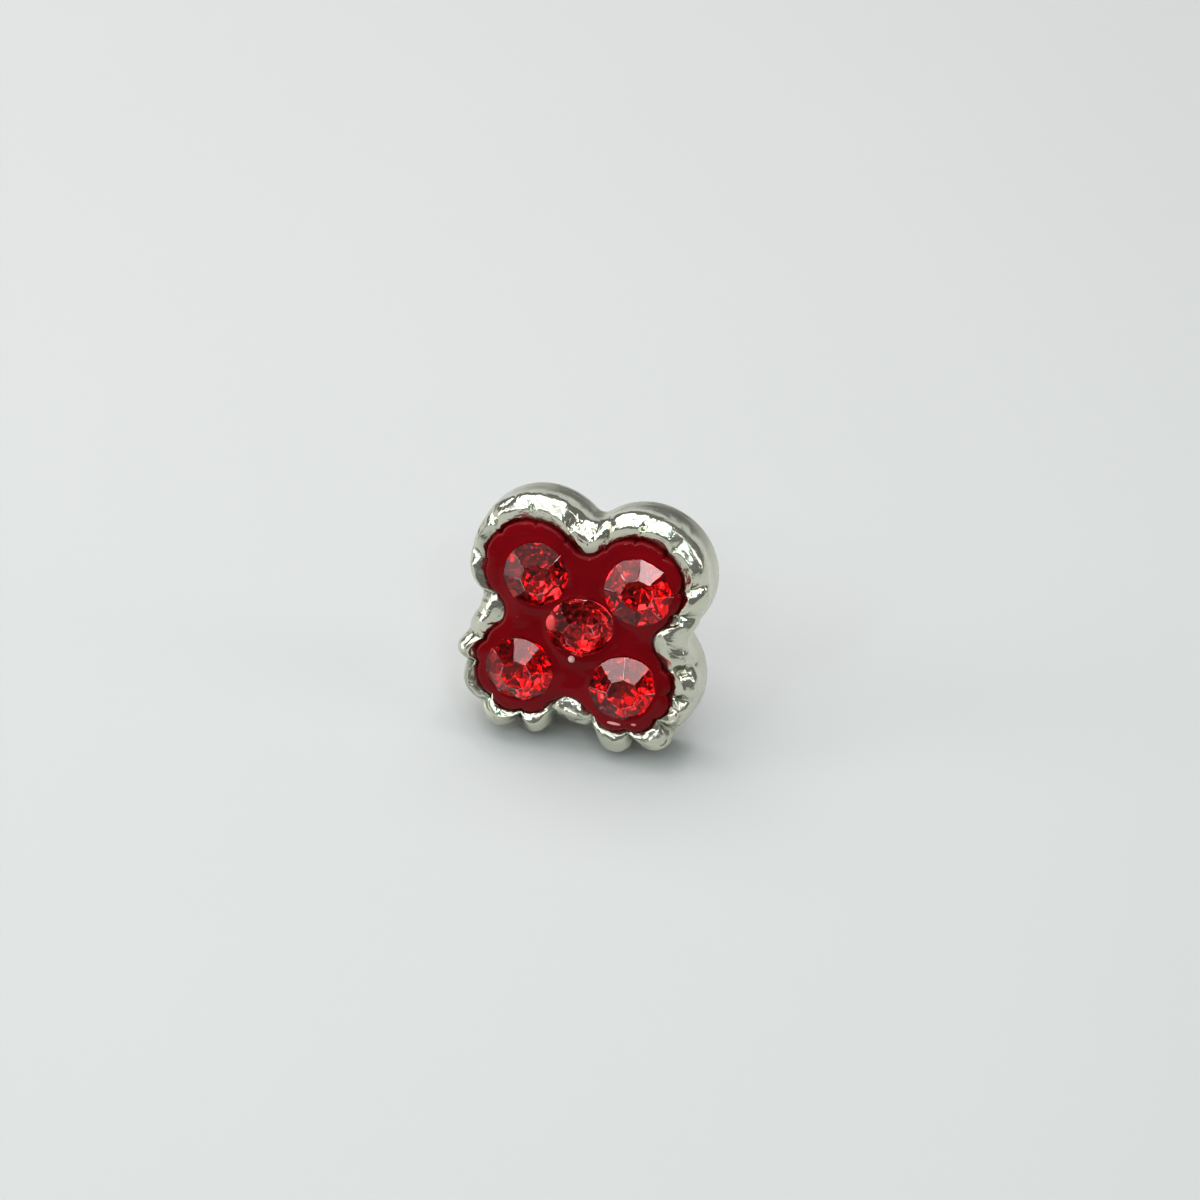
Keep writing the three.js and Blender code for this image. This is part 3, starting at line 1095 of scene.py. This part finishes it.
def seat_points(names):
    """A point on each named seat, with its turn."""
    places = [Vector(SEATS[name]["at"]) * MM for name in names]
    turns = [seat_turn(SEATS[name]).to_euler() for name in names]
    return new_object("seats", places, [], {"turn": turns})


def stone_piece(name, stone, glass, foil, tree):
    """The stone of one seat, with how dented its foil is."""
    piece = seat_points([name])
    piece.name = name + "_cut"
    values = {"Stone": stone, "Scale": 1.0, "Glass": glass, "Foil": foil}
    apply_tree(piece, tree, values)
    for layer in piece.data.attributes.new("dented", "FLOAT", "POINT").data:
        layer.value = SEATS[name]["dents"]
    return piece


def within(points, loop):
    """Whether each point of the plane lies inside a closed loop."""
    x, y = points[:, :1], points[:, 1:2]
    start, end = loop, np.roll(loop, -1, 0)
    crossed = (start[:, 1] > y) != (end[:, 1] > y)
    rise = np.where(crossed, end[:, 1] - start[:, 1], 1)
    right = x < start[:, 0] + (y - start[:, 1]) * (end[:, 0] - start[:, 0]) / rise
    return (crossed & right).sum(1) % 2 == 1


def filled_loop(loop, spacing):
    """Points and triangles that fill a loop, the loop's own points first."""
    low, high = loop.min(0), loop.max(0)
    grid = np.array(
        [
            (x + spacing / 2 * (row % 2), y)
            for row, y in enumerate(np.arange(low[1], high[1], spacing * ROW_RATIO))
            for x in np.arange(low[0], high[0], spacing)
        ]
    )
    least = spacing * EDGE_CLEARANCE
    clear = [np.linalg.norm(loop - point, axis=1).min() > least for point in grid]
    points = np.vstack([loop, grid[within(grid, loop) & clear]])
    border = [(i, (i + 1) % len(loop)) for i in range(len(loop))]
    placed, _, faces, *_ = delaunay_2d_cdt([Vector(p) for p in points], border, [], 0, 1e-9, False)
    placed, faces = np.array(placed), np.array(faces)
    return placed, faces[within(placed[faces].mean(1), loop)]


def fill_surface(points, edge, sizes, stone):
    """Height of the fill at points of the head's plane inside its rounded edge."""
    away = [np.linalg.norm(edge[:, :2] - point, axis=1) for point in points]
    share = np.clip(np.min(away, 1) / (EDGE_BLEND * sizes.spacing), 0, 1)
    border = edge[np.argmin(away, 1), 2]
    height = border + (sizes.level - border) * share
    for seat in SEATS.values():
        centre = np.array(seat["at"][:2]) * MM
        off = np.linalg.norm(points - centre, axis=1) - stone.radius
        height += sizes.collar_rise * np.exp(-((off / sizes.collar_width) ** 2)) * share
    x, y = points.T / MM
    waves = np.sin(2.1 * x + 1.3 * y) + np.sin(1.7 * y - 2.9 * x + 1)
    return height + sizes.wave_height * share * waves


def fill_piece(setting, sizes, stone_sizes):
    """The solid of the fill: straight sides in the well, a rounded edge that follows the
    creases and a gently domed top."""
    rim = rim_stations(setting)
    depth = rim["depth"]
    rings = []
    for across, height, crease in smooth_rows(FILL_SECTION, 2):
        ring = across_rim(rim, across, height)
        ring += inward(rim) * (depth * crease * setting.crease_inset)[:, None]
        ring[:, 2] -= depth * crease**2 * setting.crease_drop
        rings.append(ring[:: sizes.edge_stride])
    edge = rings[-1]
    count = len(edge)
    plane, faces = filled_loop(edge[:, :2], sizes.spacing)
    top = np.column_stack([plane, fill_surface(plane, edge, sizes, stone_sizes)])
    vertices, sides = lofted(rings)
    # The domed top takes the place of the loft's last point, the middle of its last ring.
    spare = len(vertices) - 1
    places = [*range(spare - 1 - count, spare - 1), *range(spare, spare + len(top) - count)]
    solid = [face for face in sides if spare not in face]
    solid += [tuple(places[corner] for corner in face) for face in faces]
    piece = new_object("fill_domed", [*vertices[:spare], *top[count:]], solid)
    shell = bmesh.new()
    shell.from_mesh(piece.data)
    bmesh.ops.recalc_face_normals(shell, faces=shell.faces)
    shell.to_mesh(piece.data)
    shell.free()
    return piece


def add_drops(fill):
    """Adds the drops to the fill's mesh, with the fill's material."""
    joined = bmesh.new()
    joined.from_mesh(fill.data)
    for drop in DROPS:
        shape = Matrix.LocRotScale(Vector(drop["at"]) * MM, None, Vector(drop["size"]) * MM)
        bmesh.ops.create_uvsphere(joined, u_segments=32, v_segments=16, radius=1, matrix=shape)
    for face in joined.faces:
        face.material_index = fill.data.polygons[0].material_index
    joined.to_mesh(fill.data)
    joined.free()


def smooth(piece, angle):
    """Smooth shading, with sharp edges where faces meet at more than an angle (degrees)."""
    piece.data.shade_smooth()
    piece.data.set_sharp_from_angle(angle=math.radians(angle))


# Operators


class EARRING_OT_make_setting(bpy.types.Operator):
    """Make the cast cup, its gathered rim and its post"""

    bl_idname = "earring.make_setting"
    bl_label = "Setting"

    def execute(self, context):
        earring = context.scene.earring
        cup = cup_piece(earring.setting, earring.finish)
        add_post(cup, earring.setting)
        smooth(cup, 60)
        put_on_part(cup, "silver", "setting")
        return {"FINISHED"}


class EARRING_OT_make_fill(bpy.types.Operator):
    """Make the red fill, with a pocket for each stone"""

    bl_idname = "earring.make_fill"
    bl_label = "Fill"

    def execute(self, context):
        earring = context.scene.earring
        piece = fill_piece(earring.setting, earring.fill, earring.stone)
        stone = cut_stone(earring.stone)
        seats = seat_points(SEATS)
        values = {
            "Seats": seats,
            "Stone": stone,
            "Scale": earring.fill.seat_scale,
            "Material": fill_material(earring.finish),
        }
        apply_tree(piece, pocketed_tree(), values)
        for spare in (stone, seats):
            bpy.data.objects.remove(spare)
        add_drops(piece)
        smooth(piece, 35)
        put_on_part(piece, "red_fill", "red_fill")
        return {"FINISHED"}


class EARRING_OT_make_stones(bpy.types.Operator):
    """Cut a stone and set one on each seat"""

    bl_idname = "earring.make_stones"
    bl_label = "Stones"

    def execute(self, context):
        earring = context.scene.earring
        stone = cut_stone(earring.stone)
        glass = glass_material(earring.finish)
        foil = foil_material(earring.finish)
        tree = seated_tree()
        for name in SEATS:
            piece = stone_piece(name, stone, glass, foil, tree)
            put_on_part(piece, "red_glass", name)
        bpy.data.objects.remove(stone)
        return {"FINISHED"}


def add_panel_light(name, place, target, size, power, tint=(1, 1, 1)):
    """A rectangular lamp that faces a point."""
    lamp = bpy.data.lights.new(name, "AREA")
    lamp.shape = "RECTANGLE"
    lamp.size, lamp.size_y = (side * MM for side in size)
    lamp.energy = power
    lamp.color = tint
    piece = bpy.data.objects.new(name, lamp)
    piece.location = Vector(place) * MM
    piece.rotation_euler = (Vector(target) * MM - piece.location).to_track_quat("-Z", "Y").to_euler()
    bpy.context.scene.collection.objects.link(piece)


def add_catch_lamp(earring, camera, name, facet, brightness):
    """A small square lamp where a stone's crown facet mirrors it to the camera."""
    stage, seat = earring.stage, SEATS[name]
    turn = head_matrix().to_3x3() @ seat_turn(seat)
    out = turn @ crown_normal(earring.stone, facet)
    sideways = turn @ Matrix.Rotation(math.tau * (facet + 0.5) / earring.stone.facets, 3, "Z")
    crown = Vector((earring.stone.radius * FACET_MIDDLE, 0, earring.stone.crown_height / 2))
    centre = head_matrix() @ (Vector(seat["at"]) * MM) + sideways @ crown
    beam = (centre - camera.location).normalized().reflect(out)
    power = brightness * math.pi * stage.catch_size**2
    size = (stage.catch_size / MM, stage.catch_size / MM)
    place = (centre + beam * stage.catch_reach) / MM
    label = f"catch_{name}_{facet}"
    add_panel_light(label, place, centre / MM, size, power, stage.catch_tint)


def add_floor(stage):
    """A square floor that the earring rests on."""
    half = FLOOR_HALF * MM
    corners = [(-half, -half, 0), (half, -half, 0), (half, half, 0), (-half, half, 0)]
    floor = new_object("floor", corners, [(0, 1, 2, 3)])
    floor.data.materials.append(floor_material(stage))


def add_backdrop(stage):
    """An even glow all round."""
    world = bpy.data.worlds.new("studio")
    world.use_nodes = True
    world.node_tree.nodes["Background"].inputs["Color"].default_value = (*stage.backdrop, 1)
    bpy.context.scene.world = world


def add_camera(stage):
    """A camera that looks down on the middle of the face."""
    target = head_matrix() @ Vector((0, 0, FACE_HEIGHT * MM))
    flat = math.cos(stage.elevation)
    away = Vector(
        (
            math.sin(stage.azimuth) * flat,
            -math.cos(stage.azimuth) * flat,
            math.sin(stage.elevation),
        )
    )
    right = Vector((math.cos(stage.azimuth), math.sin(stage.azimuth), 0))
    aim = target + right * stage.aim_right + away.cross(right) * stage.aim_up
    data = bpy.data.cameras.new("camera")
    data.lens = stage.lens
    data.sensor_width = SENSOR_WIDTH
    data.clip_start = 1 * MM
    camera = bpy.data.objects.new("camera", data)
    camera.location = target + away * stage.distance
    camera.rotation_euler = (aim - camera.location).to_track_quat("-Z", "Y").to_euler()
    bpy.context.scene.collection.objects.link(camera)
    bpy.context.scene.camera = camera
    return camera


class EARRING_OT_make_stage(bpy.types.Operator):
    """Make the floor, the lights and the camera"""

    bl_idname = "earring.make_stage"
    bl_label = "Stage"

    def execute(self, context):
        earring = context.scene.earring
        stage = earring.stage
        add_floor(stage)
        add_backdrop(stage)
        camera = add_camera(stage)
        context.scene.view_settings.view_transform = "Standard"
        for name, place, faced, size, power in PANELS:
            add_panel_light(name, place, faced, size, getattr(stage, power))
        for name, facet, brightness in CATCHES:
            add_catch_lamp(earring, camera, name, facet, brightness)
        for index, place in enumerate(SPARKS):
            add_panel_light(f"spark_{index}", place, SPARK_TARGET, SPARK_SIZE, stage.spark_power)
        return {"FINISHED"}


class EARRING_PT_panel(bpy.types.Panel):
    """Lists the earring's pieces and their sizes"""

    bl_idname = "EARRING_PT_panel"
    bl_label = "Stud earring"
    bl_space_type = "VIEW_3D"
    bl_region_type = "UI"
    bl_category = "Earring"

    def draw(self, context):
        earring = context.scene.earring
        for group, operator in (
            (earring.setting, EARRING_OT_make_setting),
            (earring.fill, EARRING_OT_make_fill),
            (earring.stone, EARRING_OT_make_stones),
            (earring.finish, None),
            (earring.stage, EARRING_OT_make_stage),
        ):
            box = self.layout.box()
            for name in group.__annotations__:
                box.prop(group, name)
            if operator:
                box.operator(operator.bl_idname)


CLASSES = (
    SettingSizes,
    FillSizes,
    StoneSizes,
    Finishes,
    StageSetup,
    Earring,
    EARRING_OT_make_setting,
    EARRING_OT_make_fill,
    EARRING_OT_make_stones,
    EARRING_OT_make_stage,
    EARRING_PT_panel,
)


def register():
    for item in CLASSES:
        bpy.utils.register_class(item)
    bpy.types.Scene.earring = PointerProperty(type=Earring)


def unregister():
    del bpy.types.Scene.earring
    for item in reversed(CLASSES):
        bpy.utils.unregister_class(item)


def main():
    register()
    bpy.ops.earring.make_setting()
    bpy.ops.earring.make_fill()
    bpy.ops.earring.make_stones()
    bpy.ops.earring.make_stage()


if __name__ == "__main__":
    main()
